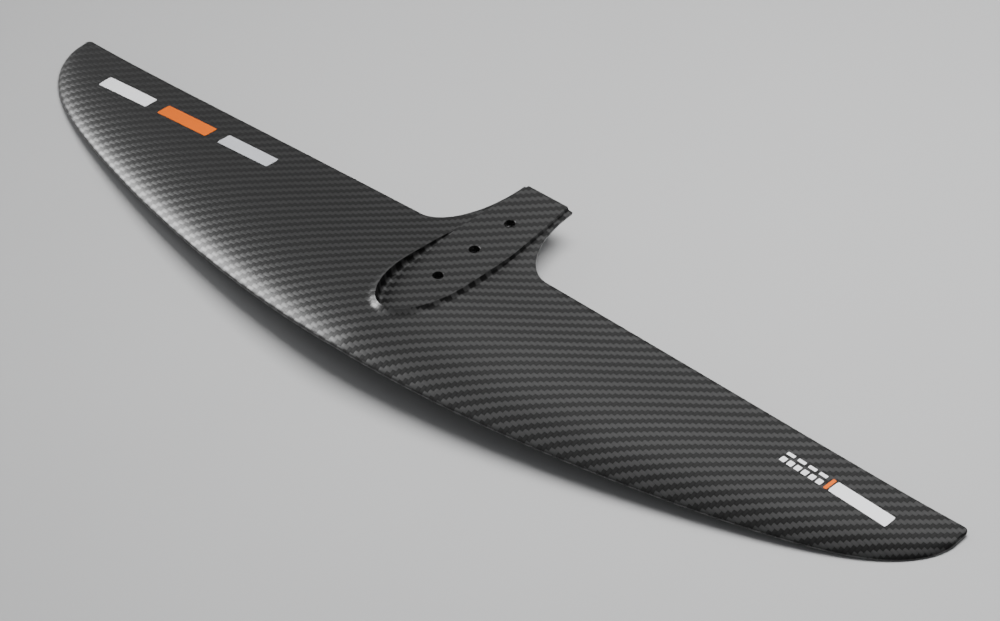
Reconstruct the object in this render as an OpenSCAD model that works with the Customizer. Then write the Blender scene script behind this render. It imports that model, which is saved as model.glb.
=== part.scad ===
// Front wing of a hydrofoil: a hollow-moulded carbon lifting wing with a sunk
// seat and a tongue that bolt it to the fuselage bar. Millimetres. +Z is up,
// X runs along the span and +Y runs aft. The origin is the middle screw hole,
// on the flat face of the seat.

/* [Planform] */
// Half of the span, from the centre line to the tip
half_span = 375; // [370:1:380]
// Leading edge at the centre line, ahead of the middle screw hole
le_root = 121; // [118:1:124]
// How far the leading edge sweeps back over the half span
le_sweep = 88; // [84:1:92]
// How far the leading edge turns back again round the tip
tip_turn = 36; // [33:1:39]
// Trailing edge at the centre line, behind the middle screw hole
te_root = 7; // [5:0.5:9]
// How far the trailing edge sweeps back over the half span
te_sweep = 6.5; // [5:0.5:8]

/* [Section] */
// Drop of the tips below the root
tip_drop = 21; // [16:1:24]
// Depth of the chord line at the root, below the flat face of the seat
root_sink = 2.3; // [2:0.1:2.8]
// Drop of the tip's leading edge below its trailing edge
tip_twist = 3.5; // [2:0.5:4.5]
// Thickness of the trailing edge
te_thick = 1.4; // [1.2:0.1:1.8]
// Thickness of each carbon skin
skin = 1.3; // [1.1:0.1:1.5]

/* [Seat] */
// Distance from one screw hole to the next
hole_pitch = 33; // [32:0.5:35]
// Diameter of the screw holes
hole_d = 7; // [6.4:0.2:7.6]
// Half of the seat's greatest width
seat_half_w = 23.7; // [22.5:0.1:24]
// Distance from the middle screw hole to the nose of the seat
seat_nose = 82.5; // [80.5:0.5:84]
// Half of the seat's width at the end of the tongue
tongue_half_w = 16.5; // [16:0.5:17.5]
// Distance from the middle screw hole to the end of the tongue
tongue_end = 69; // [68:0.5:71]
// Thickness of the tongue
tongue_t = 11; // [10.5:0.5:12]
// Height of the rim round the seat's nose, above the flat face
rim_h = 8; // [7:0.5:9]

/* [Markings] */
// Distance from the centre line to the middle of the white patch
patch_white_x = 305; // [300:1:308]
// Distance from the centre line to the middle of the orange patch
patch_orange_x = 247.5; // [245:0.5:249]
// Distance from the centre line to the middle of the grey patch
patch_grey_x = 190; // [180:1:193]
// Length of each coloured patch
patch_l = 46; // [40:1:50]
// Width of each coloured patch
patch_w = 11.2; // [10:0.1:12]

/* [Hidden] */
$fn = 64;

le_power = 1.74;     // how late the leading edge sweeps back
tip_power = 13.5;    // how close to the tip the outline turns
te_kick = 2.6;       // last turn of the trailing edge at the tip
kick_power = 8;      // how late that turn comes
tip_corner = 4;      // rounding of the tip's back corner
drop_power = 1.17;   // shape of the droop along the span
root_twist = 0.2;    // drop of the root's leading edge below its trailing edge
twist_power = 1.3;   // how late the twist comes
// Half thickness of the section, in chords: nose, straight and square terms
section_top = [0.10, 0.155, -0.17];
section_under = [0.10, 0.06, -0.05];
seat_mid = -36;      // y of the seat's greatest width
rim_fade = 9.5;      // y where the rim has run out
rim_power = 1.35;    // how late the rim comes down
rim_slope = 7;       // width of the slope outside the rim, at the nose
slope_least = 1.2;   // width of that slope where the rim has run out
rim_curve = 2.5;     // how hollow that slope is
shoulder = 4;        // the tongue's flange, outside the seat
fillet_w = 33.5;     // width of the fillet from tongue to trailing edge
belly_front = -112;  // y where the belly under the seat begins
belly_full = -42;    // y where the belly reaches its full depth
belly_w = 32;        // greatest half width of the belly
plate_t = 4;         // thickness of the seat plate
gap = 0.3;           // bond line between the inner pieces
cap_t = 1.6;         // thickness of the spar caps
cap_from = 0.13;     // front and back of the spar caps, in chords
cap_to = 0.29;
cap_gap = 0.003;     // room beside the spar caps, in chords
core_x = 25;         // inner end of the side cores
tip_block_x = 292;   // inner end of the tip blocks
bush_r = 6.8;        // outer radius of the metal screw seats
bush_h = 6.4;        // height of the metal screw seats
bush_cone = 2.8;     // depth of the countersink
mark_t = 0.12;       // thickness of the markings
mark_gap = 0.02;     // film of glue under the markings
patch_y = -12.7;     // y of the middle of the patches
label_y = [-17, -6.8];      // front and back of the label
panel_x = [296, 338.5];     // ends of the label's white panel
stripe_x = [292.4, 294.9];  // edges of the stripe beside it
bars_x = 259;        // where the rows of bars begin
// Each row of bars: count, pitch, length, front and back
bar_rows = [[6, 5.4, 3.9, -16.9, -12.4], [4, 8.1, 5.8, -9.8, -7.2]];

// ---- Outline of the wing in plan

function u_of(x) = min(abs(x) / half_span, 1);
function y_front(u) = -le_root + le_sweep * pow(u, le_power);
function y_back(u) = te_root + te_sweep * u + te_kick * pow(u, kick_power);
// The same two curves, turned towards each other round the tip
function y_le(u) = y_front(u) + tip_turn * (1 - sqrt(1 - pow(u, tip_power)));
function y_te(u) = let (q = max(0, 1 - (1 - u) * half_span / tip_corner))
    y_back(u) - tip_corner * (1 - sqrt(1 - q * q));
flange_w = tongue_half_w + shoulder;
// Back edge of the skins, with the fillets that lead out to the tongue
function fillet(x) = let (q = (flange_w + fillet_w - abs(x)) / fillet_w)
    q <= 0 ? 0 : q >= 1 ? 1 : 1 - sqrt(1 - q * q);
function y_end(x) = let (te = y_te(u_of(x))) te + (tongue_end - te) * fillet(x);

// ---- Heights of the surfaces, over a point x, y

function chord(x) = y_te(u_of(x)) - y_le(u_of(x));
function t_of(x, y) = min(max((y - y_le(u_of(x))) / chord(x), 0), 1);
function twist(u) = (root_twist + tip_twist * pow(u, twist_power)) / (y_back(u) - y_front(u));
function z_mid(x, y) = let (u = u_of(x))
    -root_sink - tip_drop * pow(u, drop_power) - (1 - t_of(x, y)) * chord(x) * twist(u);
function rise(x, y, k) = let (t = t_of(x, y))
    chord(x) * (1 - t) * (k[0] * sqrt(t) + k[1] * t + k[2] * t * t) + te_thick / 2 * t;
function z_wing_top(x, y) = z_mid(x, y) + rise(x, y, section_top);
function z_wing_under(x, y) = z_mid(x, y) - rise(x, y, section_under);

// Half width of the seat, and how far a point lies outside its outline
seat_l = seat_nose + seat_mid;
function seat_w(y) = y < seat_mid
    ? seat_half_w * sqrt(max(0, 1 - pow((y - seat_mid) / seat_l, 2)))
    : tongue_half_w + (seat_half_w - tongue_half_w)
        * (1 - pow((y - seat_mid) / (tongue_end - seat_mid), 2));
function seat_d(x, y) = let (v = y - seat_mid, r = norm([x / seat_half_w, v / seat_l]))
    y >= seat_mid ? abs(x) - seat_w(y) : r > 0 ? (1 - 1 / r) * norm([x, v]) : -seat_half_w;
function rim_z(y) = let (s = (y + seat_nose) / (rim_fade + seat_nose))
    rim_h * max(0, 1 - pow(max(s, 0), rim_power));
function slope_w(y) = slope_least + (rim_slope - slope_least) * min(rim_z(y) / rim_h, 1);
function rim_blend(x, y) = let (d = seat_d(x, y) / slope_w(y))
    d <= 0 ? 1 : d >= 1 ? 0 : pow(1 - d, rim_curve);
function z_top(x, y) = let (z = z_wing_top(x, y)) z + (rim_z(y) - z) * rim_blend(x, y);

// Belly that thickens the wing under the seat and the tongue
function edge_w(y) = let (te = y_te(0), q = (y - te) / (tongue_end - te))
    q <= 0 ? belly_w : min(belly_w, flange_w + fillet_w - fillet_w * sqrt(1 - pow(1 - min(q, 1), 2)));
function ramp(s) = let (c = min(max(s, 0), 1)) c * c * (3 - 2 * c);
function belly(x, y) = let (
    across = max(0, 1 - pow(abs(x) / edge_w(y), 3)),
    along = ramp((y - belly_front) / (belly_full - belly_front)),
    edge = z_mid(x, y) - te_thick / 2)
    edge - (tongue_t + edge) * pow(across, 2 / 3) * along;
function z_under(x, y) = min(z_wing_under(x, y), belly(x, y));

// ---- Lofts: rows of points, one row for each station along the span

module loft(rows) {
    n = len(rows[0]);
    last = len(rows) - 1;
    pts = [for (row = rows) each row];
    sides = [for (i = [0:last - 1], j = [0:n - 1]) let (
        a = i * n + j, b = i * n + (j + 1) % n) each [[a, b, b + n], [a, b + n, a + n]]];
    // Each end is closed by a zigzag of triangles between its top and its underside
    zigzag = [for (k = [0:n - 3]) let (i = ceil(k / 2), j = n - 1 - floor(k / 2))
        k % 2 == 0 ? [i, i + 1, j] : [i, j - 1, j]];
    cap_a = [for (f = zigzag) [f[2], f[1], f[0]]];
    cap_b = [for (f = zigzag) [for (k = f) last * n + k]];
    polyhedron(points = pts, faces = concat(sides, cap_a, cap_b), convexity = 8);
}

// Stations of one half, close together at the tongue, the fillet and the tip
half_x = concat(
    [for (i = [0:6]) flange_w * i / 6],
    [for (i = [1:7]) flange_w + fillet_w * (1 - cos(90 * i / 7))],
    [for (i = [1:8]) flange_w + fillet_w + (300 - flange_w - fillet_w) * i / 8],
    [for (i = [1:8]) 300 + (half_span - 300) * sin(90 * i / 8)]);
all_x = concat([for (i = [len(half_x) - 1:-1:1]) -half_x[i]], half_x);
chord_s = [for (i = [0:20]) (1 - cos(9 * i)) / 2];

function skin_y(x, s) = let (le = y_le(u_of(x))) le + s * (y_end(x) - le);
function wing_in_top(x, y) = z_wing_top(x, y) - skin;
function wing_in_under(x, y) = z_under(x, y) + skin;

// A piece between two heights, over part of the span and part of the chord
module slab(xs, ts, top, under) {
    loft([for (x = xs) let (le = y_le(u_of(x)), c = chord(x)) concat(
        [for (t = ts) let (y = le + t * c) [x, y, top(x, y)]],
        [for (i = [len(ts) - 1:-1:0]) let (y = le + ts[i] * c) [x, y, under(x, y)]])]);
}
function steps(a, b, n) = [for (i = [0:n]) a + (b - a) * i / n];

// Inner faces of the hollow, with room for the spar caps
function in_top(x, y) = wing_in_top(x, y) - gap;
function in_under(x, y) = wing_in_under(x, y) + gap;
function cap_room(x, y) = let (t = t_of(x, y))
    t > cap_from - 1.5 * cap_gap && t < cap_to + 1.5 * cap_gap ? cap_t + gap : 0;
function core_top(x, y) = in_top(x, y) - cap_room(x, y);
function core_under(x, y) = in_under(x, y) + cap_room(x, y);

// ---- Skins

// Upper skin: the loft of the wing's top, with an opening for the seat plate
module upper_skin() {
    color("#26282b") difference() {
        loft([for (x = all_x) concat(
            [for (s = chord_s) let (y = skin_y(x, s)) [x, y, z_top(x, y)]],
            [for (i = [len(chord_s) - 1:-1:1]) let (y = skin_y(x, chord_s[i]))
                [x, y, max(wing_in_top(x, y), z_mid(x, y))]])]);
        translate([0, 0, -plate_t - tongue_t]) linear_extrude(tongue_t * 3) seat_outline(1);
    }
}

// Lower skin: the loft of the underside, with holes for the screw seats
module lower_skin() {
    color("#1f2124") difference() {
        loft([for (x = all_x) concat(
            [for (i = [len(chord_s) - 1:-1:0]) let (y = skin_y(x, chord_s[i]))
                [x, y, z_under(x, y)]],
            [for (i = [1:len(chord_s) - 1]) let (y = skin_y(x, chord_s[i]))
                [x, y, min(wing_in_under(x, y), z_mid(x, y))]])]);
        at_holes() translate([0, 0, -2 * tongue_t]) cylinder(h = 2 * tongue_t - plate_t, r = bush_r);
    }
}

module at_holes() for (i = [-1:1]) translate([0, i * hole_pitch, 0]) children();

// ---- Seat

// Plan of the seat: a bullet nose and long sides that draw in to the tongue's end
module seat_outline(past_end) {
    nose = [for (a = [0:10:180]) [-seat_half_w * cos(a), seat_mid - seat_l * sin(a)]];
    side = [for (i = [1:8]) let (y = seat_mid + (tongue_end - seat_mid) * i / 8) [seat_w(y), y]];
    tail = [[tongue_half_w, tongue_end + past_end], [-tongue_half_w, tongue_end + past_end]];
    back = [for (i = [8:-1:1]) [-side[i - 1][0], side[i - 1][1]]];
    polygon(concat(nose, side, past_end > 0 ? tail : [], back));
}

module hole(from, to, r) translate([0, 0, from]) cylinder(h = to - from, r = r);

// Plate of solid laminate, whose flat face is what the fuselage bar rests on
module seat_plate() {
    color("#2b2d30") difference() {
        translate([0, 0, -plate_t]) linear_extrude(plate_t) seat_outline(0);
        at_holes() hole(-plate_t - 1, 1, hole_d / 2);
    }
}

// Block of solid laminate between the seat plate and the lower skin
module hub_block() {
    inset = 1.5;
    ys = concat(steps(inset - seat_nose, seat_mid, 9), steps(seat_mid + 9, tongue_end, 10));
    color("#303236") difference() {
        loft([for (y = ys) let (w = max(seat_w(y) - inset, 3), a = w / 4) concat(
            [for (k = [4:-1:-4]) [k * a, y, -plate_t]],
            [for (k = [-4:4]) [k * a, y, in_under(k * a, y) + gap]])]);
        at_holes() hole(-tongue_t, 0, hole_d / 2);
        at_holes() hole(-2 * tongue_t, bush_h - tongue_t, bush_r);
    }
}

// Stainless seat for a countersunk screw head, let into the underside
module screw_seat(i) {
    color("silver") translate([0, i * hole_pitch, -tongue_t]) difference() {
        cylinder(h = bush_h, r = bush_r);
        hole(-1, bush_h + 1, hole_d / 2);
        translate([0, 0, -0.01]) cylinder(h = bush_cone, r1 = hole_d / 2 + bush_cone, r2 = hole_d / 2);
    }
}
module screw_seat_front() screw_seat(-1);
module screw_seat_middle() screw_seat(0);
module screw_seat_rear() screw_seat(1);

// ---- Inner pieces

core_ts = concat([0.09, cap_from - 2 * cap_gap], steps(cap_from - cap_gap, cap_to + cap_gap, 4),
                 [cap_to + 2 * cap_gap], steps(0.4, 0.8, 4));
// Foam core of one half, from the hub block out to the tip block
module side_core(side) {
    xs = concat(steps(core_x, belly_w + 1, 3), steps(belly_w + 12, tip_block_x - gap, 13));
    signed = side > 0 ? xs : [for (i = [len(xs) - 1:-1:0]) -xs[i]];
    color("#e8d9a8") slab(signed, core_ts, function(x, y) core_top(x, y),
                          function(x, y) core_under(x, y));
}
module core_left() side_core(-1);
module core_right() side_core(1);

// Foam ahead of the seat, between the two halves
module core_centre() {
    color("#e8d9a8") slab(steps(-core_x + gap, core_x - gap, 6), [for (i = [0:5]) core_ts[i]],
                          function(x, y) core_top(x, y), function(x, y) core_under(x, y));
}

cap_ts = steps(cap_from, cap_to, 4);
cap_xs = steps(-tip_block_x + gap, tip_block_x - gap, 30);
// Bands of straight carbon fibre from tip block to tip block, under each skin
module spar_cap_upper() {
    color("#17181a") slab(cap_xs, cap_ts, function(x, y) in_top(x, y),
                          function(x, y) in_top(x, y) - cap_t);
}
module spar_cap_lower() {
    color("#17181a") slab(cap_xs, cap_ts, function(x, y) in_under(x, y) + cap_t,
                          function(x, y) in_under(x, y));
}

// Rope of carbon fibre that fills the nose behind the leading edge
module leading_edge_bead() {
    color("#202225") slab(steps(-tip_block_x, tip_block_x, 34), [0.05, 0.065, 0.08],
                          function(x, y) in_top(x, y), function(x, y) in_under(x, y));
}

// Strips of filled resin between the skins, ahead of the trailing edge
module trailing_edge_strip(side) {
    xs = steps(60, 200, 8);
    signed = side > 0 ? xs : [for (i = [len(xs) - 1:-1:0]) -xs[i]];
    color("#3a3c40") slab(signed, [0.81, 0.83, 0.85], function(x, y) in_top(x, y),
                          function(x, y) in_under(x, y));
}
module trailing_edge_strip_left() trailing_edge_strip(-1);
module trailing_edge_strip_right() trailing_edge_strip(1);

// Solid laminate that closes the hollow towards each tip
module tip_block(side) {
    xs = steps(tip_block_x, tip_block_x + 30, 4);
    signed = side > 0 ? xs : [for (i = [len(xs) - 1:-1:0]) -xs[i]];
    color("#303236") slab(signed, steps(0.14, 0.56, 5), function(x, y) in_top(x, y),
                          function(x, y) in_under(x, y));
}
module tip_block_left() tip_block(-1);
module tip_block_right() tip_block(1);

// ---- Markings: thin films that follow the top of the wing

module film(x0, x1, y0, y1, nx, ny) {
    loft([for (x = steps(x0, x1, nx)) concat(
        [for (y = steps(y0, y1, ny)) [x, y, z_wing_top(x, y) + mark_gap + mark_t]],
        [for (y = steps(y1, y0, ny)) [x, y, z_wing_top(x, y) + mark_gap]])]);
}
module patch(x) {
    film(x - patch_l / 2, x + patch_l / 2, patch_y - patch_w / 2, patch_y + patch_w / 2, 6, 3);
}
module patch_white() color("white") patch(-patch_white_x);
module patch_orange() color("darkorange") patch(-patch_orange_x);
module patch_grey() color("lightgray") patch(-patch_grey_x);
module label_panel() color("white") film(panel_x[0], panel_x[1], label_y[0], label_y[1], 6, 3);
module label_stripe() color("darkorange") film(stripe_x[0], stripe_x[1], label_y[0], label_y[1], 1, 3);
// Two rows of plain bars beside the panel
module label_marks() {
    color("white") for (row = bar_rows, i = [0:row[0] - 1]) let (x = bars_x + row[1] * i)
        film(x, x + row[2], row[3], row[4], 1, 1);
}

upper_skin();
lower_skin();
seat_plate();
hub_block();
core_left();
core_right();
core_centre();
spar_cap_upper();
spar_cap_lower();
leading_edge_bead();
trailing_edge_strip_left();
trailing_edge_strip_right();
tip_block_left();
tip_block_right();
screw_seat_front();
screw_seat_middle();
screw_seat_rear();
patch_white();
patch_orange();
patch_grey();
label_panel();
label_stripe();
label_marks();
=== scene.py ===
"""Looks of a hydrofoil front wing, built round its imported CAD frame.

Outlines and heights below are in millimetres and become metres when a mesh is
made. X runs along the span, Y runs aft and Z is up. The origin is the middle
screw hole, on the flat face of the seat.
"""

import math

import bpy
import numpy as np
from mathutils import Matrix, Vector
from mathutils.geometry import delaunay_2d_cdt


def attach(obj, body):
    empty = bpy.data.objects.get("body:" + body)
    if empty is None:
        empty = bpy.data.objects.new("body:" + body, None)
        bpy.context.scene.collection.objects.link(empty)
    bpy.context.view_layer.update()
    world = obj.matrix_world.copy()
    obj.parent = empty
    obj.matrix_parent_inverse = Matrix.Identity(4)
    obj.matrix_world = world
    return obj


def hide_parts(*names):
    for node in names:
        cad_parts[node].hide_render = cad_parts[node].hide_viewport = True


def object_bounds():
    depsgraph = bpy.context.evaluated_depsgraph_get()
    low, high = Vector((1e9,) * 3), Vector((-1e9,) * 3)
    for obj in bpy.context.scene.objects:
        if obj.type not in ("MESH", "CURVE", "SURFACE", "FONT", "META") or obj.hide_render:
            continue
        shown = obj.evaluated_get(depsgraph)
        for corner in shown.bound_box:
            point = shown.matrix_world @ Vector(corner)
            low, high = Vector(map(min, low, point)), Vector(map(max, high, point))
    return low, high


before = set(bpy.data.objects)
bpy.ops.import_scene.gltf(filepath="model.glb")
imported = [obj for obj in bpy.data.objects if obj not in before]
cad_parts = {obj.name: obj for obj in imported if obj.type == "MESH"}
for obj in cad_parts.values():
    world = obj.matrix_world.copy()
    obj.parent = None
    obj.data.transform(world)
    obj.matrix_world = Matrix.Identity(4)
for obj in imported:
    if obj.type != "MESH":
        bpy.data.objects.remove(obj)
cad_low, cad_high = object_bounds()
MM = 0.001

# ---------------------------------------------------------------- camera

AZIMUTH, ELEVATION, ROLL = map(math.radians, (44.42, 40.21, 2.91))
CAMERA_PLACE = (1.3042, -1.3108, 1.5119)
LENS, SENSOR = 137.72, 36


def make_camera():
    right = Vector((math.cos(AZIMUTH), math.sin(AZIMUTH), 0))
    back = Vector((math.sin(AZIMUTH) * math.cos(ELEVATION),
                   -math.cos(AZIMUTH) * math.cos(ELEVATION), math.sin(ELEVATION)))
    up = back.cross(right)
    c, s = math.cos(ROLL), math.sin(ROLL)
    axes = Matrix((c * right - s * up, s * right + c * up, back)).transposed()
    data = bpy.data.cameras.new("camera")
    data.lens, data.sensor_width = LENS, SENSOR
    data.clip_start, data.clip_end = 0.05, 50
    camera = bpy.data.objects.new("camera", data)
    camera.matrix_world = Matrix.Translation(CAMERA_PLACE) @ axes.to_4x4()
    bpy.context.scene.collection.objects.link(camera)
    bpy.context.scene.camera = camera


make_camera()

# ---------------------------------------------------------------- outline of the wing in plan

HALF_SPAN = 375
LE_ROOT, LE_SWEEP, LE_POWER = 121, 88, 1.74
TIP_TURN, TIP_POWER = 36, 13.5          # how far and how late the leading edge turns back
TE_ROOT, TE_SWEEP, TE_KICK = 7, 6.5, 2.6
TIP_CORNER = 4                          # radius of the tip's back corner
TIP_EDGE = 1.3                          # width over which the tip's end rounds off
HOLE_PITCH, HOLE_R = 33, 3.5
BUSH_R = 6.8                            # radius of a screw seat
SEAT_W, SEAT_NOSE, SEAT_MID = 23.7, 82.5, -36   # half width, its nose and its widest place
SEAT_L = SEAT_NOSE + SEAT_MID           # length of the nose's half ellipse
TONGUE_W, TONGUE_END, TONGUE_T = 16.5, 69, 11
FLANGE_W, FILLET_W = 20.5, 33.5         # half width over the flanges, and of each fillet


def u_of(x):
    return np.minimum(np.abs(x) / HALF_SPAN, 1)


def y_front(x):
    return -LE_ROOT + LE_SWEEP * u_of(x) ** LE_POWER


def y_le(x):
    return y_front(x) + TIP_TURN * (1 - np.sqrt(1 - u_of(x) ** TIP_POWER))


def round_in(s):
    """0 up to s = 0, then a quarter circle down to 1 at s = 1."""
    return 1 - np.sqrt(1 - np.clip(s, 0, 1) ** 2)


def y_back(x):
    u = u_of(x)
    return TE_ROOT + TE_SWEEP * u + TE_KICK * u ** 8


def y_te(x):
    return y_back(x) - TIP_CORNER * round_in((np.abs(x) - HALF_SPAN + TIP_CORNER) / TIP_CORNER)


def fillet(x):
    """Share of the way from the trailing edge to the tongue's end."""
    return round_in((FLANGE_W + FILLET_W - np.abs(x)) / FILLET_W)


def y_end(x):
    te = y_te(x)
    return te + (TONGUE_END - te) * fillet(x)


def seat_w(y):
    nose = SEAT_W * np.sqrt(np.maximum(0, 1 - ((y - SEAT_MID) / SEAT_L) ** 2))
    along = (y - SEAT_MID) / (TONGUE_END - SEAT_MID)
    side = TONGUE_W + (SEAT_W - TONGUE_W) * (1 - along ** 2)
    return np.where(y < SEAT_MID, nose, side)


# ---------------------------------------------------------------- polylines in plan

BATCH = 4000          # points measured at one time, to save memory


def distance(points, line):
    """Distance from each point to an open polyline."""
    a, b = line[:-1], line[1:]
    ab = b - a
    best = np.empty(len(points))
    for start in range(0, len(points), BATCH):
        p = points[start:start + BATCH]
        ap = p[:, None] - a
        s = np.clip((ap * ab).sum(2) / (ab * ab).sum(1), 0, 1)
        best[start:start + BATCH] = np.linalg.norm(ap - s[..., None] * ab, axis=2).min(1)
    return best


def inside(points, ring):
    """Even-odd test of points against a closed polygon."""
    x, y = points[:, 0, None], points[:, 1, None]
    a, b = ring, np.roll(ring, -1, 0)
    crosses = (a[:, 1] > y) != (b[:, 1] > y)
    rise = np.where(a[:, 1] == b[:, 1], 1, b[:, 1] - a[:, 1])
    at = a[:, 0] + (y - a[:, 1]) * (b[:, 0] - a[:, 0]) / rise
    return (crosses & (x < at)).sum(1) % 2 == 1


def resample(line, step):
    """The same polyline with points step apart."""
    run = np.concatenate(([0], np.cumsum(np.linalg.norm(np.diff(line, axis=0), axis=1))))
    at = np.linspace(0, run[-1], max(2, round(run[-1] / step) + 1))
    return np.column_stack([np.interp(at, run, line[:, k]) for k in (0, 1)])


def shifted(line, offset):
    """The polyline moved to its left by offset, a number or one for each point."""
    d = np.gradient(line, axis=0)
    n = np.column_stack((-d[:, 1], d[:, 0])) / np.linalg.norm(d, axis=1)[:, None]
    return line + n * np.reshape(offset, (-1, 1))


def seat_line(past_end=0.0):
    """The seat's outline, from the tongue's end on -X round the nose to +X. It
    can run past the end."""
    ys = np.linspace(TONGUE_END + past_end, SEAT_MID, 160)[:-1]
    a = np.linspace(0, math.pi, 241)
    left = np.column_stack((-seat_w(ys), ys))
    nose = np.column_stack((-SEAT_W * np.cos(a), SEAT_MID - SEAT_L * np.sin(a)))
    right = left[::-1] * (-1, 1)
    return np.vstack((left, nose, right))


SEAT_LINE = resample(seat_line(8), 0.6)
HOLES = [np.array((0, i * HOLE_PITCH)) for i in (-1, 0, 1)]


def back_line(half, step):
    """The back edge from x = half, round the fillets and the tongue, to x = -half."""
    straight = np.linspace(half, FLANGE_W + FILLET_W, 6)[:-1]
    curved = FLANGE_W + FILLET_W * (1 - np.sin(np.linspace(0, math.pi / 2, 90)))
    x = np.concatenate((straight, curved))
    side = resample(np.column_stack((x, y_end(x))), step)
    corner = np.array(((FLANGE_W, TONGUE_END), (-FLANGE_W, TONGUE_END)))
    end = resample(corner, step)[1:-1]
    return np.vstack((side, end, side[::-1] * (-1, 1)))


# ---------------------------------------------------------------- heights of the surfaces

SEAT_ABOVE = 2.3                        # the seat's height over the mean line
DROOP, DROOP_POWER = 21, 1.17
TWIST_ROOT, TWIST_TIP, TWIST_POWER = 0.2, 3.5, 1.3
SECTION_TOP = (0.10, 0.155, -0.17)      # factors of the section's curve, over the chord
SECTION_UNDER = (0.10, 0.06, -0.05)
BACK_T = 0.7                            # half thickness of the back edge
EDGE_R = 0.4                            # rounding of the back edges
RIM_H, RIM_FADE, RIM_POWER = 8, 9.5, 1.35
LEAST_RIM = 0.05                        # a lower rim gets no lines for its wall
RIM_SLOPE, SLOPE_LEAST, RIM_CURVE = 7, 1.2, 2.5
WALL, FOOT_R = 0.3, 3.0                 # the rim's wall in plan, and the fillet at its foot
HOLE_EDGE, BUSH_EDGE = 0.45, 0.3        # rounding of the holes' edges, above and below
SKIN, PLATE_T = 1.3, 4
PLATE_SIDE = 1.2                        # width over which the skin joins the plate's back
BELLY_FRONT, BELLY_FULL, BELLY_W = -112, -42, 32
BELLY_REACH, BELLY_BLEND, BELLY_FADE = 40, 1.4, 8
CENTRE_X = 60                           # half width of the part round the seat
BACK = back_line(CENTRE_X, 0.8)


def smooth_min(a, b, k):
    """The lower of two heights, with the corner between them rounded over k."""
    k = np.maximum(k, 1e-6)
    h = np.maximum(k - np.abs(a - b), 0) / k
    return np.minimum(a, b) - h * h * k / 4


def t_of(x, y):
    """Share of the chord behind the leading edge, 1 on the flanges as well."""
    le = y_le(x)
    q = np.clip((FLANGE_W + FILLET_W - np.abs(x)) / FILLET_W, 0, 1)
    return np.clip(smooth_min((y - le) / (y_te(x) - le), 1.0, 0.1 * q), 0, 1)


def z_mid(x, y):
    """The mean line, where the two skins meet."""
    u = u_of(x)
    twist = (TWIST_ROOT + TWIST_TIP * u ** TWIST_POWER) / (y_back(x) - y_front(x))
    line = -SEAT_ABOVE - DROOP * u ** DROOP_POWER
    return line - (1 - t_of(x, y)) * (y_te(x) - y_le(x)) * twist


def rise(x, y, section):
    """Half thickness of the section: round at the front, BACK_T at the back."""
    a, b, c = section
    t = t_of(x, y)
    tip = 1 - round_in((np.abs(x) - HALF_SPAN + TIP_EDGE) / TIP_EDGE)
    curve = (y_te(x) - y_le(x)) * (1 - t) * (a * np.sqrt(t) + b * t + c * t * t)
    return tip * (curve + BACK_T * t)


def wing_top(x, y):
    """The upper face of the wing without its seat and rim."""
    return z_mid(x, y) + rise(x, y, SECTION_TOP)


def from_back(x, y):
    """Distance from the back edge."""
    away = np.array(y_te(x) - y)
    near = np.abs(x) < CENTRE_X
    away[near] = distance(np.column_stack((x[near], y[near])), BACK)
    return away


def edge_drop(x, y):
    """How far the rounded back edge falls."""
    return EDGE_R * round_in(1 - from_back(x, y) / EDGE_R)


def seat_side(x, y):
    """Distance outside the seat's outline, below zero inside it, and a great
    distance wherever it doesn't matter."""
    d = np.full(len(x), 1e3)
    near = (np.abs(x) < 45) & (y > -100)
    p = np.column_stack((x[near], y[near]))
    sign = np.where((np.abs(p[:, 0]) < seat_w(p[:, 1])) & (p[:, 1] > -SEAT_NOSE), -1, 1)
    d[near] = sign * distance(p, SEAT_LINE)
    return d


def rim_z(y):
    """Height of the rim over the seat."""
    s = np.maximum((y + SEAT_NOSE) / (RIM_FADE + SEAT_NOSE), 0)
    return RIM_H * np.maximum(0, 1 - s ** RIM_POWER)


def slope_w(y):
    """Width of the slope outside the rim."""
    return SLOPE_LEAST + (RIM_SLOPE - SLOPE_LEAST) * np.minimum(rim_z(y) / RIM_H, 1)


def lip_r(h):
    """Radius of the rim's edge, for its height."""
    return np.clip(0.1 * h, 0.12, 0.35)


def foot(y):
    """Width in plan of the fillet at the foot of the wall."""
    return np.clip(0.75 * rim_z(y), 0.4, FOOT_R)


def top(x, y):
    """The upper face: the wing with its rim, and inside the rim the flat seat."""
    z, h, d = wing_top(x, y), rim_z(y), seat_side(x, y)
    blend = (1 - np.clip(d / slope_w(y), 0, 1)) ** RIM_CURVE
    outside = z + (h - z) * blend
    lip = lip_r(h)
    outside = outside - lip * round_in(1 - np.maximum(d, 0) / lip) * np.minimum(h, 1)
    crest = h - lip * np.minimum(h, 1)
    r = foot(y)
    share = np.minimum(r, 0.7 * crest)
    on_wall = share + (crest - share) * (1 + d / WALL)
    on_foot = share * round_in((d + WALL + r) / r)
    inner = np.where(d > -WALL, on_wall, on_foot)
    flat = np.where(h > 0.02, inner, 0)
    z = np.where(d > 0, outside, np.maximum(flat, 0))
    z = z - edge_drop(x, y) - hole_drop(x, y, HOLE_R, HOLE_EDGE)
    return np.maximum(z, z_mid(x, y))


def hole_drop(x, y, radius, r):
    """How far a hole's rounded edge falls."""
    drop = np.zeros(len(x))
    for cx, cy in HOLES:
        drop += r * round_in(1 - (np.hypot(x - cx, y - cy) - radius) / r)
    return drop


def inner_top(x, y):
    """Inner face of the upper shell: down to the plate's back under the seat."""
    d = seat_side(x, y)
    wing = np.maximum(wing_top(x, y) - SKIN, z_mid(x, y))
    s = np.clip(1 + d / PLATE_SIDE, 0, 1)
    return -PLATE_T + (wing + PLATE_T) * s


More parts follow.
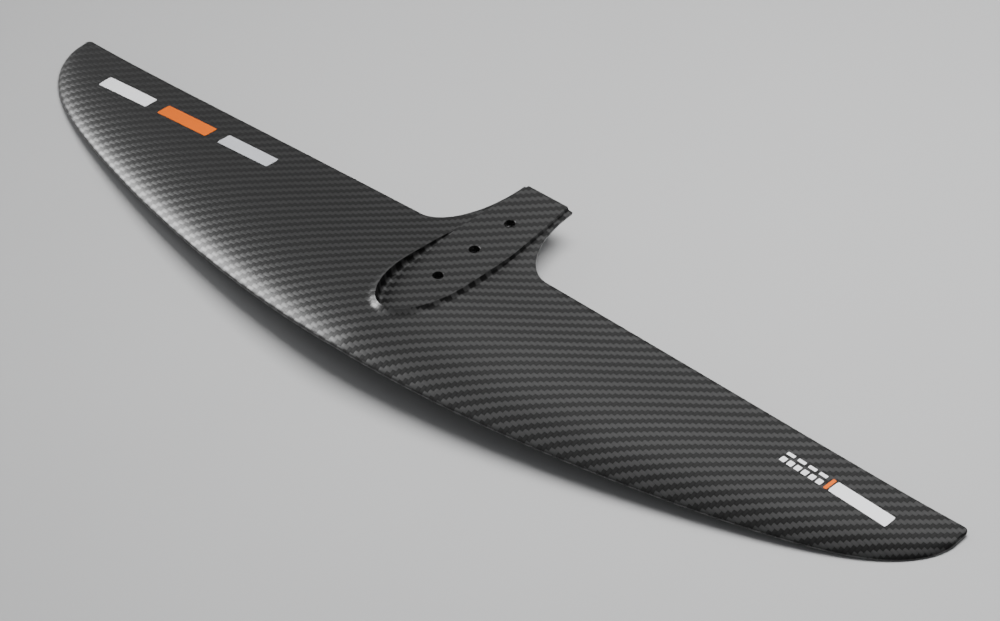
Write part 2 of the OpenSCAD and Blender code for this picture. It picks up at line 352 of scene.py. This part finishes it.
def belly_w(y):
    """Half width of the belly, which narrows to the tongue with the fillets."""
    q = np.clip((y - TE_ROOT) / (TONGUE_END - TE_ROOT), 0, 1)
    return np.minimum(BELLY_W, FLANGE_W + FILLET_W - FILLET_W * np.sqrt(1 - (1 - q) ** 2))


def under(x, y):
    """The lower face: the wing, with a belly under the seat and the tongue."""
    mid = z_mid(x, y)
    wing = mid - rise(x, y, SECTION_UNDER)
    across = np.maximum(0, 1 - (np.abs(x) / belly_w(y)) ** 3) ** (2 / 3)
    s = np.clip((y - BELLY_FRONT) / (BELLY_FULL - BELLY_FRONT), 0, 1)
    edge = mid - BACK_T
    belly = edge - (TONGUE_T + edge) * across * s * s * (3 - 2 * s)
    on_belly = np.clip((BELLY_REACH - np.abs(x)) / BELLY_FADE, 0, 1)
    z = smooth_min(wing, belly, BELLY_BLEND * on_belly)
    z = np.where(on_belly > 0, np.maximum(z, -TONGUE_T), z)
    return np.minimum(z + edge_drop(x, y) + hole_drop(x, y, BUSH_R, BUSH_EDGE), mid)


def inner_under(x, y):
    """Inner face of the lower shell."""
    return np.minimum(under(x, y) + SKIN, z_mid(x, y))


# ---------------------------------------------------------------- meshes from plan sheets

ROWS = 46
s_rows = np.linspace(0, 1, ROWS + 1)
T_ROWS = s_rows ** 2 * (1.5 - 0.5 * s_rows)
CUT = 17              # the row where the part round the seat begins
EDGE_ROWS = EDGE_R * np.array((1.0, 0.5, 0.15, 0.0))
LAST_ROW = ROWS + len(EDGE_ROWS)
NEAR_TIP = 300        # where the stations begin to close up
OUTER_X = np.concatenate((
    np.linspace(CENTRE_X, NEAR_TIP, 71)[:-1],
    NEAR_TIP + (HALF_SPAN - NEAR_TIP) * np.sin(np.linspace(0, math.pi / 2, 42))))
OUTER_X[-1] = HALF_SPAN
FRONT_X = np.linspace(-CENTRE_X, CENTRE_X, 61)


def column(x):
    """The points of one station, from the leading to the trailing edge."""
    le, te = float(y_le(x)), float(y_te(x))
    y = le + (te - le - EDGE_ROWS[0]) * T_ROWS
    return np.concatenate((y[:-1], te - EDGE_ROWS))


def strip(xs, first, last):
    """Triangles between neighbouring stations, over some of their rows."""
    n = last - first
    cols = [np.column_stack((np.full(n, x), column(x)[first:last])) for x in xs]
    tris = []
    for i in range(len(xs) - 1):
        for j in range(n - 1):
            a, b = i * n + j, (i + 1) * n + j
            tris += [(a, b, b + 1), (a, b + 1, a + 1)]
    return np.vstack(cols), np.array(tris)


def circle(centre, radius, count):
    """Points round a circle, as a closed polyline."""
    a = np.linspace(0, 2 * math.pi, count, endpoint=False)
    return centre + radius * np.column_stack((np.cos(a), np.sin(a)))


def centre_sheet(lines, rings, hole_r, keep, spacing):
    """Triangles over the part round the seat. lines are open and rings closed
    polylines that the triangles follow, and keep says where a filling point may go."""
    front = np.column_stack((FRONT_X, [column(x)[CUT] for x in FRONT_X]))
    right = np.column_stack((np.full(LAST_ROW - CUT, CENTRE_X), column(CENTRE_X)[CUT:]))
    left = right * (-1, 1)
    border = np.vstack((front, right[1:-1], BACK, left[1:-1][::-1]))
    gx = np.arange(-CENTRE_X + 1, CENTRE_X, spacing)
    gy = np.arange(-95, TONGUE_END, spacing)
    fill = np.array([(x, y) for y in gy for x in gx])
    fill = fill[inside(fill, border)]
    fill = fill[distance(fill, np.vstack((border, border[:1]))) > 1.3]
    fill = fill[keep(fill)]
    points, edges = [], []

    def add(line, closed):
        base = len(points)
        points.extend(Vector(p) for p in line)
        n = len(line)
        edges.extend((base + i, base + (i + 1) % n) for i in range(n if closed else n - 1))

    add(border, True)
    for line in lines:
        add(line, False)
    for ring in rings:
        add(ring, True)
    points.extend(Vector(p) for p in fill)
    verts, _, faces = delaunay_2d_cdt(points, edges, [], 0, 1e-5, False)[:3]
    verts = np.array([tuple(v) for v in verts])
    tris = np.array([f for f in faces if len(f) == 3])
    mids = verts[tris].mean(1)
    good = inside(mids, border)
    for c in HOLES:
        good &= np.hypot(*(mids - c).T) > hole_r
    return verts, tris[good]


def join_sheets(sheets):
    """One list of points and triangles, with shared points merged."""
    points, tris, base = [], [], 0
    for p, t in sheets:
        points.append(p)
        tris.append(t + base)
        base += len(p)
    points, tris = np.vstack(points), np.vstack(tris)
    _, first, back = np.unique(np.round(points, 3), axis=0, return_index=True, return_inverse=True)
    back = back.reshape(-1)
    tris = back[tris]
    points = points[first]
    good = (tris[:, 0] != tris[:, 1]) & (tris[:, 1] != tris[:, 2]) & (tris[:, 2] != tris[:, 0])
    tris = tris[good]
    a, b, c = (points[tris[:, k]] for k in range(3))
    area = np.cross(b - a, c - a)
    tris[area < 0] = tris[area < 0][:, ::-1]
    used = np.unique(tris)
    new = np.full(len(points), -1)
    new[used] = np.arange(len(used))
    return points[used], new[tris]


def normals_of(height, p, flip):
    """Normals of a height function at the points, from its slopes."""
    e = 0.02
    x, y = p.T
    zx = (height(x + e, y) - height(x - e, y)) / (2 * e)
    zy = (height(x, y + e) - height(x, y - e)) / (2 * e)
    n = np.column_stack((-zx, -zy, np.ones(len(x)))) * flip
    return n / np.linalg.norm(n, axis=1)[:, None]


def add_object(name, verts, faces, material, replaces, normals=None, angle=38):
    """A piece from points in millimetres. Edges sharper than angle stay sharp."""
    mesh = bpy.data.meshes.new(name)
    mesh.from_pydata([tuple(v) for v in np.asarray(verts) * MM], [],
                     [tuple(map(int, f)) for f in faces])
    mesh.validate()
    mesh.shade_smooth()
    mesh.set_sharp_from_angle(angle=math.radians(angle))
    if normals is not None:
        mesh.normals_split_custom_set([tuple(n) for n in normals])
    ob = bpy.data.objects.new(name, mesh)
    bpy.context.scene.collection.objects.link(ob)
    mesh.materials.append(material)
    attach(ob, "root")
    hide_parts(*replaces)


def shell(name, points, tris, outer, inner, flip, smooth, material, replaces):
    """A closed shell over a plan sheet. outer is the face that shows, above the
    inner one where flip is 1 and below it where flip is -1. The two share the
    points where they meet. smooth says which points get a normal from the height
    function instead of one from the faces."""
    x, y = points.T
    zo, zi = outer(x, y), inner(x, y)
    pinched = np.abs(zo - zi) < 1e-3
    tris = tris[~pinched[tris].all(1)]
    n = len(points)
    back = np.where(pinched, np.arange(n), np.arange(n) + n)
    out = tris if flip > 0 else tris[:, ::-1]
    faces = [tuple(t) for t in out]
    shown = len(faces)
    faces += [tuple(back[t][::-1]) for t in out]
    sides = dict.fromkeys((int(t[i]), int(t[i - 2])) for t in out for i in range(3))
    for a, b in sides:
        if (b, a) in sides or (pinched[a] and pinched[b]):
            continue
        quad = [b, a, int(back[a]), int(back[b])]
        quad = [v for i, v in enumerate(quad) if v != quad[i - 1]]
        if len(quad) > 2:
            faces.append(tuple(quad))
    verts = np.vstack((np.column_stack((x, y, zo)), np.column_stack((x, y, zi))))
    n_out = normals_of(outer, points, flip)
    front = np.abs(y - y_le(x)) < 0.02
    e = 0.01
    inward = np.clip(x[front], 5 * e - HALF_SPAN, HALF_SPAN - 5 * e)
    dy = (y_le(inward + e) - y_le(inward - e)) / (2 * e)
    ahead = np.column_stack((dy, np.full(len(dy), -1.0), np.zeros(len(dy))))
    n_out[front] = ahead / np.linalg.norm(ahead, axis=1)[:, None]
    n_out[~smooth(points) & ~front] = 0
    used = np.unique(np.concatenate([np.array(f) for f in faces]))
    new = np.full(2 * n, -1)
    new[used] = np.arange(len(used))
    faces = [tuple(new[list(f)]) for f in faces]
    kept = new[:n] >= 0
    normal_at = np.zeros((len(used), 3))
    normal_at[new[:n][kept]] = n_out[kept]
    loops = []
    for k, f in enumerate(faces):
        loops += [normal_at[v] if k < shown else (0, 0, 0) for v in f]
    add_object(name, verts[used], faces, material, replaces, loops)


# ---------------------------------------------------------------- materials

TOW = 2.6 * MM        # width of one carbon tow in the cloth
TOW_DEPTH = 0.09 * MM
PAINTED_DIM_TOW, PAINTED_SHEEN_TOW = 0.006, 0.034      # greys of the two directions of tow, the lighter one a painted sheen
STREAKS = 0.25        # share of the tone that fine streaks take off
TOW_SHINE = 0.4       # roughness of the lighter tows
DULLER = 0.4          # how much rougher the darker tows are
GAP_DULLER = 0.16     # how much rougher the gaps between tows are
PAINTED_WALL_SHADE = 0.4       # painted shade: share of the tone left on steep faces


class Nodes:
    """A small writer of node graphs for one material. Settings that are the same
    all over the surface go on the shader's own sockets."""

    def __init__(self, name, **sockets):
        self.material = bpy.data.materials.new(name)
        self.material.use_nodes = True
        self.tree = self.material.node_tree
        self.shader = self.tree.nodes["Principled BSDF"]
        for socket, value in sockets.items():
            self.shader.inputs[socket.replace("_", " ")].default_value = value

    def node(self, kind, **settings):
        made = self.tree.nodes.new(kind)
        for key, value in settings.items():
            setattr(made, key, value)
        return made

    def put(self, socket, value):
        if isinstance(value, bpy.types.NodeSocket):
            self.tree.links.new(value, socket)
        else:
            socket.default_value = value

    def math(self, operation, a, b=0.0, c=0.0):
        made = self.node("ShaderNodeMath", operation=operation)
        for socket, value in zip(made.inputs, (a, b, c)):
            self.put(socket, value)
        return made.outputs[0]

    def place(self, scale=(1, 1, 1)):
        """Object coordinates, with each axis scaled."""
        coords = self.node("ShaderNodeTexCoord").outputs["Object"]
        mapping = self.node("ShaderNodeMapping")
        mapping.inputs["Scale"].default_value = scale
        self.put(mapping.inputs["Vector"], coords)
        return mapping.outputs[0]

    def axes(self, vector):
        """The three parts of a vector."""
        split = self.node("ShaderNodeSeparateXYZ")
        self.put(split.inputs[0], vector)
        return split.outputs

    def noise(self, scale, detail=3.0, stretch=(1, 1, 1)):
        made = self.node("ShaderNodeTexNoise")
        self.put(made.inputs["Vector"], self.place(stretch))
        made.inputs["Scale"].default_value = scale
        made.inputs["Detail"].default_value = detail
        return made.outputs["Fac"]

    def ramp(self, value, stops):
        """Colours at their places along a value, blended between."""
        made = self.node("ShaderNodeValToRGB")
        ramp = made.color_ramp
        while len(ramp.elements) < len(stops):
            ramp.elements.new(0.5)
        for element, (at, colour) in zip(ramp.elements, stops):
            element.position = at
            element.color = (*colour, 1)
        self.put(made.inputs["Fac"], value)
        return made.outputs["Color"]

    def span(self, value, low, high, to_low, to_high):
        """A value's range mapped to another, and held at its ends."""
        made = self.node("ShaderNodeMapRange")
        for socket, v in zip(made.inputs, (value, low, high, to_low, to_high)):
            self.put(socket, v)
        return made.outputs[0]

    def bump(self, height, depth):
        made = self.node("ShaderNodeBump")
        made.inputs["Strength"].default_value = 1.0
        made.inputs["Distance"].default_value = depth
        self.put(made.inputs["Height"], height)
        self.put(self.shader.inputs["Normal"], made.outputs["Normal"])

    def link(self, socket, value):
        self.put(self.shader.inputs[socket], value)


def grey(v):
    return (v, v, v * 1.01)


def carbon(name):
    """Two by two twill under clear resin. Warp tows run along Y and weft along X,
    and each floats over two of the other. The weft gets a lighter grey than the warp
    as a painted sheen, and the tows get painted shade at their rounded sides and on steep faces."""
    m = Nodes(name, Roughness=TOW_SHINE, Coat_Weight=0.6, Coat_Roughness=0.3, Coat_IOR=1.5)
    at = m.axes(m.place())
    sway = 0.12           # in tows
    sway_x = m.span(m.noise(60), 0, 1, -sway, sway)
    sway_y = m.span(m.noise(60, stretch=(1, 1.02, 1)), 0, 1, sway, -sway)
    a = m.math("ADD", m.math("MULTIPLY", at[0], 1 / TOW), sway_x)
    b = m.math("ADD", m.math("MULTIPLY", at[1], 1 / TOW), sway_y)
    i, j = m.math("FLOOR", a), m.math("FLOOR", b)
    fa, fb = m.math("FRACT", a), m.math("FRACT", b)
    k = m.math("FLOORED_MODULO", m.math("SUBTRACT", i, j), 4.0)
    warp = m.math("LESS_THAN", k, 1.5)
    weft = m.math("SUBTRACT", 1.0, warp)

    def tow(across, start):
        """Height of a tow: round across, and sinking at both ends of its float."""
        side = m.math("ABSOLUTE", m.math("MULTIPLY_ADD", across, 2.0, -1.0))
        ends = m.math("ABSOLUTE", m.math("SUBTRACT", start, 1.0))
        side = m.math("SUBTRACT", 1.0, m.math("POWER", side, 3.0))
        ends = m.math("SUBTRACT", 1.0, m.math("MULTIPLY", m.math("POWER", ends, 2.5), 0.75))
        return m.math("MULTIPLY", side, ends)

    warp_at = m.math("SUBTRACT", m.math("ADD", fb, 1.0), k)
    weft_at = m.math("ADD", fa, m.math("SUBTRACT", k, 2.0))
    warp_h = m.math("MULTIPLY", warp, tow(fa, warp_at))
    weft_h = m.math("MULTIPLY", weft, tow(fb, weft_at))
    height = m.math("ADD", warp_h, weft_h)
    along_y = m.noise(900, 2.0, (3.2, 0.12, 1))
    along_x = m.noise(900, 2.0, (0.12, 3.2, 1))
    streak = m.math("ADD", m.math("MULTIPLY", warp, along_y), m.math("MULTIPLY", weft, along_x))
    facing = m.axes(m.node("ShaderNodeTexCoord").outputs["Normal"])
    # painted shade: steep faces keep only part of their tone, darkened as if they caught less
    # light
    flat = m.span(m.math("ABSOLUTE", facing[2]), 0.35, 0.85, PAINTED_WALL_SHADE, 1.0)
    # painted shade: each tow's colour darkens where it rounds down to its sides and to the ends of
    # its float; fibre streaks and a random mottle are multiplied in below
    painted_shade_and_streaks = m.span(height, 0, 1, 0.62, 1.0)
    painted_shade_and_streaks = m.math("MULTIPLY", painted_shade_and_streaks, m.span(streak, 0.25, 0.75, 1 - STREAKS, 1.0))
    painted_shade_and_streaks = m.math("MULTIPLY", painted_shade_and_streaks, m.span(m.noise(14), 0.3, 0.7, 0.93, 1.05))
    painted_shade_and_streaks = m.math("MULTIPLY", painted_shade_and_streaks, flat)
    # painted sheen: the weft tows get a lighter grey than the warp, in place of the light the two
    # directions reflect differently
    tone = m.math("MULTIPLY", m.span(weft, 0, 1, PAINTED_DIM_TOW, PAINTED_SHEEN_TOW), painted_shade_and_streaks)
    m.link("Base Color", m.ramp(tone, [(0, (0, 0, 0)), (1, (1, 1, 1))]))
    dull = m.math("ADD", m.span(weft, 0, 1, DULLER, 0), m.span(height, 0, 1, GAP_DULLER, 0))
    m.link("Roughness", m.math("ADD", dull, TOW_SHINE))
    m.bump(m.math("ADD", height, m.math("MULTIPLY", streak, 0.12)), TOW_DEPTH)
    return m.material


def laminate(name):
    """The end of a solid laminate: thin flat plies, one above the other."""
    m = Nodes(name, Roughness=0.5, Coat_Weight=0.3, Coat_Roughness=0.3)
    plies = m.noise(1, 4.0, (60, 60, 3200))
    m.link("Base Color", m.ramp(plies, [(0.3, grey(0.012)), (0.6, grey(0.03)), (0.8, grey(0.06))]))
    m.link("Roughness", m.span(plies, 0.3, 0.7, 0.38, 0.6))
    m.bump(plies, 0.04 * MM)
    return m.material


def foam(name):
    """Rigid core foam, with fine cells."""
    m = Nodes(name, Roughness=0.9)
    cell = m.node("ShaderNodeTexVoronoi")
    m.put(cell.inputs["Vector"], m.place())
    cell.inputs["Scale"].default_value = 900
    wall = cell.outputs["Distance"]
    m.link("Base Color", m.ramp(wall, [(0, (0.78, 0.66, 0.4)), (0.7, (0.55, 0.45, 0.26))]))
    m.bump(wall, 0.2 * MM)
    return m.material


def resin(name):
    """Resin thickened with filler, slightly mottled."""
    m = Nodes(name, Roughness=0.45)
    spots = m.noise(700, 4.0)
    m.link("Base Color", m.ramp(spots, [(0.3, grey(0.03)), (0.7, grey(0.07))]))
    m.link("Roughness", m.span(spots, 0.3, 0.7, 0.35, 0.55))
    m.bump(spots, 0.05 * MM)
    return m.material


def straight_fibre(name):
    """Carbon fibre that runs straight along the span."""
    m = Nodes(name, Roughness=0.4)
    streaks = m.noise(900, 3.0, (0.05, 2.5, 1))
    m.link("Base Color", m.ramp(streaks, [(0.3, grey(0.012)), (0.7, grey(0.05))]))
    m.link("Roughness", m.span(streaks, 0.3, 0.7, 0.3, 0.5))
    m.bump(streaks, 0.03 * MM)
    return m.material


def film(name, low, high):
    """Printed film: even colour with a faint grain and a soft gloss."""
    m = Nodes(name, Roughness=0.38, Specular_IOR_Level=0.3)
    grain = m.noise(2600, 2.0)
    wide = m.noise(45, 2.0)
    both = m.math("ADD", m.math("MULTIPLY", grain, 0.35), m.math("MULTIPLY", wide, 0.65))
    m.link("Base Color", m.ramp(both, [(0.3, low), (0.7, high)]))
    m.link("Roughness", m.span(grain, 0.3, 0.7, 0.32, 0.45))
    m.bump(grain, 0.006 * MM)
    return m.material


def steel(name):
    """Turned stainless steel, with fine rings left by the tool."""
    m = Nodes(name, Metallic=1.0, Roughness=0.25)
    at = m.axes(m.place())
    half = HOLE_PITCH / 2 * MM
    folded = m.math("PINGPONG", m.math("ADD", at[1], 9 * half), half)
    y = m.math("SUBTRACT", folded, half)
    r = m.math("SQRT", m.math("ADD", m.math("POWER", at[0], 2.0), m.math("POWER", y, 2.0)))
    lines = m.node("ShaderNodeTexNoise", noise_dimensions="1D")
    m.put(lines.inputs["W"], r)
    lines.inputs["Scale"].default_value = 9000
    rings = lines.outputs["Fac"]
    m.link("Base Color", m.ramp(rings, [(0.3, (0.5, 0.5, 0.5)), (0.7, (0.66, 0.65, 0.64))]))
    m.link("Roughness", m.span(rings, 0.3, 0.7, 0.2, 0.34))
    m.bump(rings, 0.012 * MM)
    return m.material


CARBON = carbon("carbon_twill")
CARBON_UNDER = carbon("carbon_twill_under")
LAMINATE = laminate("carbon_laminate_ends")
STEEL = steel("turned_steel")
WHITE = film("white_print", (0.94, 0.94, 0.95), (0.98, 0.98, 0.99))
ORANGE = film("orange_print", (0.78, 0.135, 0.002), (0.84, 0.155, 0.003))
PALE_GREY = film("grey_print", (0.52, 0.53, 0.56), (0.59, 0.6, 0.63))

# ---------------------------------------------------------------- the two shells

def full_sheet(centre):
    return join_sheets([strip(OUTER_X, 0, LAST_ROW), strip(-OUTER_X[::-1], 0, LAST_ROW),
                        strip(FRONT_X, 0, CUT + 1), centre])


def seat_rings():
    """Lines beside the seat's outline that its rim, wall and fillet follow."""
    base = resample(seat_line(), 1.1)
    y = base[:, 1]
    h = rim_z(y)
    lip = lip_r(h)
    lines = [shifted(base, -lip * k) for k in (1.0, 0.6, 0.3, 0.1)]
    lines += [shifted(base, -slope_w(y) * k) for k in (0.2, 0.35, 0.55, 0.77, 1.0)]
    lines += [shifted(base, -slope_w(y) - 1.0), base]
    walled = h > LEAST_RIM
    b, r = base[walled], foot(y[walled])
    bends = np.radians((0, 22, 42, 60, 76, 90))
    lines += [shifted(b, WALL + r * (1 - math.cos(a))) for a in bends]
    lines.append(shifted(b, WALL + r + 0.8))
    return lines


def clipped(line):
    """The parts of a line that lie clear of the back edge's rounding."""
    good = (line[:, 1] < TONGUE_END - 0.01) & (distance(line, BACK) > EDGE_R + 0.15)
    ends = np.flatnonzero(np.diff(good)) + 1
    runs = [r for r in np.split(np.arange(len(line)), ends) if good[r[0]]]
    return [line[r] for r in runs if len(r) > 1]


def back_rings():
    """Lines just inside the back edge, for its rounding."""
    lines = []
    for e in EDGE_ROWS[:-1]:
        line = shifted(BACK, e)
        away = distance(line, BACK)
        line = line[away > e * 0.9]
        line = line[np.abs(line[:, 0]) < CENTRE_X - 0.2]
        ends = np.array((CENTRE_X, y_te(CENTRE_X) - e))
        lines.append(np.vstack((ends, line, ends * (-1, 1))))
    return lines


def hole_rings(radius, r, count):
    """Lines round the holes, for the rounding of their edges."""
    steps = (0, 0.15, 0.5, 1.0)
    rings = [circle(c, radius + r * k, count) for c in HOLES for k in steps]
    return rings + [circle(c, radius + 1.6, count) for c in HOLES]


def clear_of_holes(p, gap):
    """Which points lie further than gap from the centre of every hole."""
    return np.min([np.hypot(*(p - c).T) for c in HOLES], axis=0) > gap


def clear_of_edges(p):
    """Which points lie inside the rounding of the back edges and the tips."""
    x, y = p.T
    return (from_back(x, y) > EDGE_R * 1.2) & (np.abs(x) < HALF_SPAN - 0.1)


def make_upper():
    lines = back_rings()
    for line in seat_rings():
        lines += clipped(line)

    def keep(p):
        x, y = p.T
        d = seat_side(x, y)
        within = np.where(rim_z(y) > LEAST_RIM, -foot(y) - WALL - 1.6, -0.9)
        return ((d > slope_w(y) + 1.9) | (d < within)) & clear_of_holes(p, HOLE_R + 2.4)

    def smooth(p):
        x, y = p.T
        d = seat_side(x, y)
        flat = (d > 0.8) | (d < -foot(y) - WALL - 0.2)
        return flat & clear_of_edges(p) & clear_of_holes(p, HOLE_R + 0.8)

    rings = hole_rings(HOLE_R, HOLE_EDGE, 48)
    points, tris = full_sheet(centre_sheet(lines, rings, HOLE_R, keep, 2.0))
    shell("upper_shell", points, tris, top, inner_top, 1, smooth, CARBON,
          ("upper_skin", "seat_plate"))


def make_lower():
    def keep(p):
        return clear_of_holes(p, BUSH_R + 2.4)

    def smooth(p):
        return clear_of_edges(p) & clear_of_holes(p, BUSH_R + 0.6)

    rings = hole_rings(BUSH_R, BUSH_EDGE, 72)
    points, tris = full_sheet(centre_sheet(back_rings(), rings, BUSH_R, keep, 1.7))
    shell("lower_shell", points, tris, under, inner_under, -1, smooth, CARBON_UNDER,
          ("lower_skin",))


make_upper()
make_lower()

# ---------------------------------------------------------------- markings

GLUE, FILM_T = 0.03, 0.1
FILM_STEP = 1.6       # about how far apart a film's points are
PATCH_L, PATCH_W, PATCH_Y = 46, 11.2, -12.7
PATCHES = (("white", -305, WHITE), ("orange", -247.5, ORANGE), ("grey", -190, PALE_GREY))
LABEL_Y = (-17, -6.8)
PANEL_X, STRIPE_X, BARS_X = (296, 338.5), (292.4, 294.9), 259
# for each row of bars: how many, their pitch and length, and the row's two edges
BAR_ROWS = ((6, 5.4, 3.9, -16.9, -12.4), (4, 8.1, 5.8, -9.8, -7.2))


def print_on(x0, x1, y0, y1, corner):
    """A thin film on the top of the wing: its points and faces."""
    nx = max(2, round((x1 - x0) / FILM_STEP))
    ny = max(2, round((y1 - y0) / FILM_STEP))
    ys = np.linspace(y0, y1, ny + 1)
    inset = corner * round_in(1 - np.minimum(ys - y0, y1 - ys) / corner)
    points, faces = [], []
    for level in (GLUE + FILM_T, GLUE):
        for y, cut in zip(ys, inset):
            xs = np.linspace(x0 + cut, x1 - cut, nx + 1)
            z = wing_top(xs, np.full(nx + 1, y)) + level
            points.append(np.column_stack((xs, np.full(nx + 1, y), z)))
    points = np.vstack(points)
    n, m = nx + 1, (nx + 1) * (ny + 1)
    for j in range(ny):
        for i in range(nx):
            a = j * n + i
            faces.append((a, a + 1, a + 1 + n, a + n))
            faces.append(tuple(v + m for v in (a + n, a + 1 + n, a + 1, a)))
    rim = [(i, 0) for i in range(n)] + [(nx, j) for j in range(1, ny + 1)]
    rim += [(i, ny) for i in range(nx - 1, -1, -1)] + [(0, j) for j in range(ny - 1, 0, -1)]
    rim = [j * n + i for i, j in rim]
    for a, b in zip(rim, rim[1:] + rim[:1]):
        faces.append((b, a, a + m, b + m))
    return points, faces


def add_film(name, boxes, corner, material, node):
    """One piece of one or more films of a kind. boxes hold their edges."""
    points, faces, base = [], [], 0
    for box in boxes:
        p, f = print_on(*box, corner)
        points.append(p)
        faces += [tuple(v + base for v in face) for face in f]
        base += len(p)
    add_object(name, np.vstack(points), faces, material, (node,))


for colour, x, material in PATCHES:
    box = (x - PATCH_L / 2, x + PATCH_L / 2, PATCH_Y - PATCH_W / 2, PATCH_Y + PATCH_W / 2)
    add_film(f"print_{colour}", [box], 0.5, material, f"patch_{colour}")
add_film("print_panel", [(*PANEL_X, *LABEL_Y)], 0.5, WHITE, "label_panel")
add_film("print_stripe", [(*STRIPE_X, *LABEL_Y)], 0.1, ORANGE, "label_stripe")
bars = [(BARS_X + pitch * i, BARS_X + length + pitch * i, y0, y1)
        for count, pitch, length, y0, y1 in BAR_ROWS for i in range(count)]
add_film("print_bars", bars, 0.2, WHITE, "label_marks")

# ---------------------------------------------------------------- screw seats

BUSH_H, BUSH_CONE = 6.4, 2.8
TURNED_SIDES = 96
low = -TONGUE_T
bush = [(HOLE_R, low + BUSH_CONE), (HOLE_R + 0.15, low + BUSH_CONE - 0.15),
        (HOLE_R + BUSH_CONE - 0.15, low + 0.15), (HOLE_R + BUSH_CONE, low + 0.02),
        (BUSH_R - 0.2, low + 0.02), (BUSH_R, low + 0.2),
        (BUSH_R, low + BUSH_H), (HOLE_R, low + BUSH_H)]


def turned(name, profile, centre, material, node):
    """A closed ring turned from a profile of radius and height."""
    angles = np.linspace(0, 2 * math.pi, TURNED_SIDES, endpoint=False)
    points = [(centre[0] + r * math.cos(a), centre[1] + r * math.sin(a), z)
              for a in angles for r, z in profile]
    n = len(profile)
    faces = []
    for i in range(TURNED_SIDES):
        for j in range(n):
            a, b = i * n, (i + 1) % TURNED_SIDES * n
            faces.append((a + j, b + j, b + (j + 1) % n, a + (j + 1) % n))
    add_object(name, points, faces, material, (node,), angle=50)


for where, centre in zip(("front", "middle", "rear"), HOLES):
    turned(f"steel_seat_{where}", bush, centre, STEEL, f"screw_seat_{where}")

# ---------------------------------------------------------------- CAD pieces that stay

FOAM, RESIN, FIBRE = foam("core_foam"), resin("filled_resin"), straight_fibre("straight_carbon")
STAYS = {
    "hub_block": (LAMINATE, "carbon_laminate"),
    "core_left": (FOAM, "core_foam"),
    "core_right": (FOAM, "core_foam"),
    "core_centre": (FOAM, "core_foam"),
    "spar_cap_upper": (FIBRE, "carbon_laminate"),
    "spar_cap_lower": (FIBRE, "carbon_laminate"),
    "leading_edge_bead": (FIBRE, "carbon_laminate"),
    "trailing_edge_strip_left": (RESIN, "resin_filler"),
    "trailing_edge_strip_right": (RESIN, "resin_filler"),
    "tip_block_left": (LAMINATE, "carbon_laminate"),
    "tip_block_right": (LAMINATE, "carbon_laminate"),
}
for name, (material, slot) in STAYS.items():
    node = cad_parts[name]
    node.data.materials.clear()
    node.data.materials.append(material)

# ---------------------------------------------------------------- floor and light

FLOOR_HALF = 30       # metres
LIGHT_SIZE = 0.8      # metres


def add_floor():
    """The pale floor, at the lowest point of the wing."""
    m = Nodes("floor", Roughness=0.75)
    m.link("Base Color", m.ramp(m.noise(3), [(0.3, (0.48, 0.48, 0.48)), (0.7, (0.5, 0.5, 0.5))]))
    mesh = bpy.data.meshes.new("floor")
    s, z = FLOOR_HALF, cad_low.z
    mesh.from_pydata([(-s, -s, z), (s, -s, z), (s, s, z), (-s, s, z)], [], [(0, 1, 2, 3)])
    mesh.materials.append(m.material)
    floor = bpy.data.objects.new("floor", mesh)
    bpy.context.scene.collection.objects.link(floor)


def add_light(name, place, target, power, diffuse=True, glossy=True):
    """A square soft light. It can be left out of the diffuse or the glossy light."""
    data = bpy.data.lights.new(name, "AREA")
    data.shape = "RECTANGLE"
    data.size = data.size_y = LIGHT_SIZE
    data.energy = power
    light = bpy.data.objects.new(name, data)
    light.location = place
    light.rotation_mode = "QUATERNION"
    light.rotation_quaternion = (Vector(target) - Vector(place)).to_track_quat("-Z", "Y")
    light.visible_diffuse, light.visible_glossy = diffuse, glossy
    bpy.context.scene.collection.objects.link(light)


add_floor()
add_light("key", (-1.45, -0.3, 0.95), (-0.15, 0, 0), 44, diffuse=False)
add_light("sheen", (-0.24, 0.78, 0.97), (0.34, 0, 0), 2.3, diffuse=False)
add_light("fill", (0.2, 0.25, 1.0), (0.15, 0, 0), 21, glossy=False)
world = bpy.data.worlds.new("studio")
world.use_nodes = True
background = world.node_tree.nodes["Background"]
background.inputs["Color"].default_value = (0.9, 0.92, 0.95, 1)
background.inputs["Strength"].default_value = 0.3
world.cycles_visibility.glossy = False
bpy.context.scene.world = world
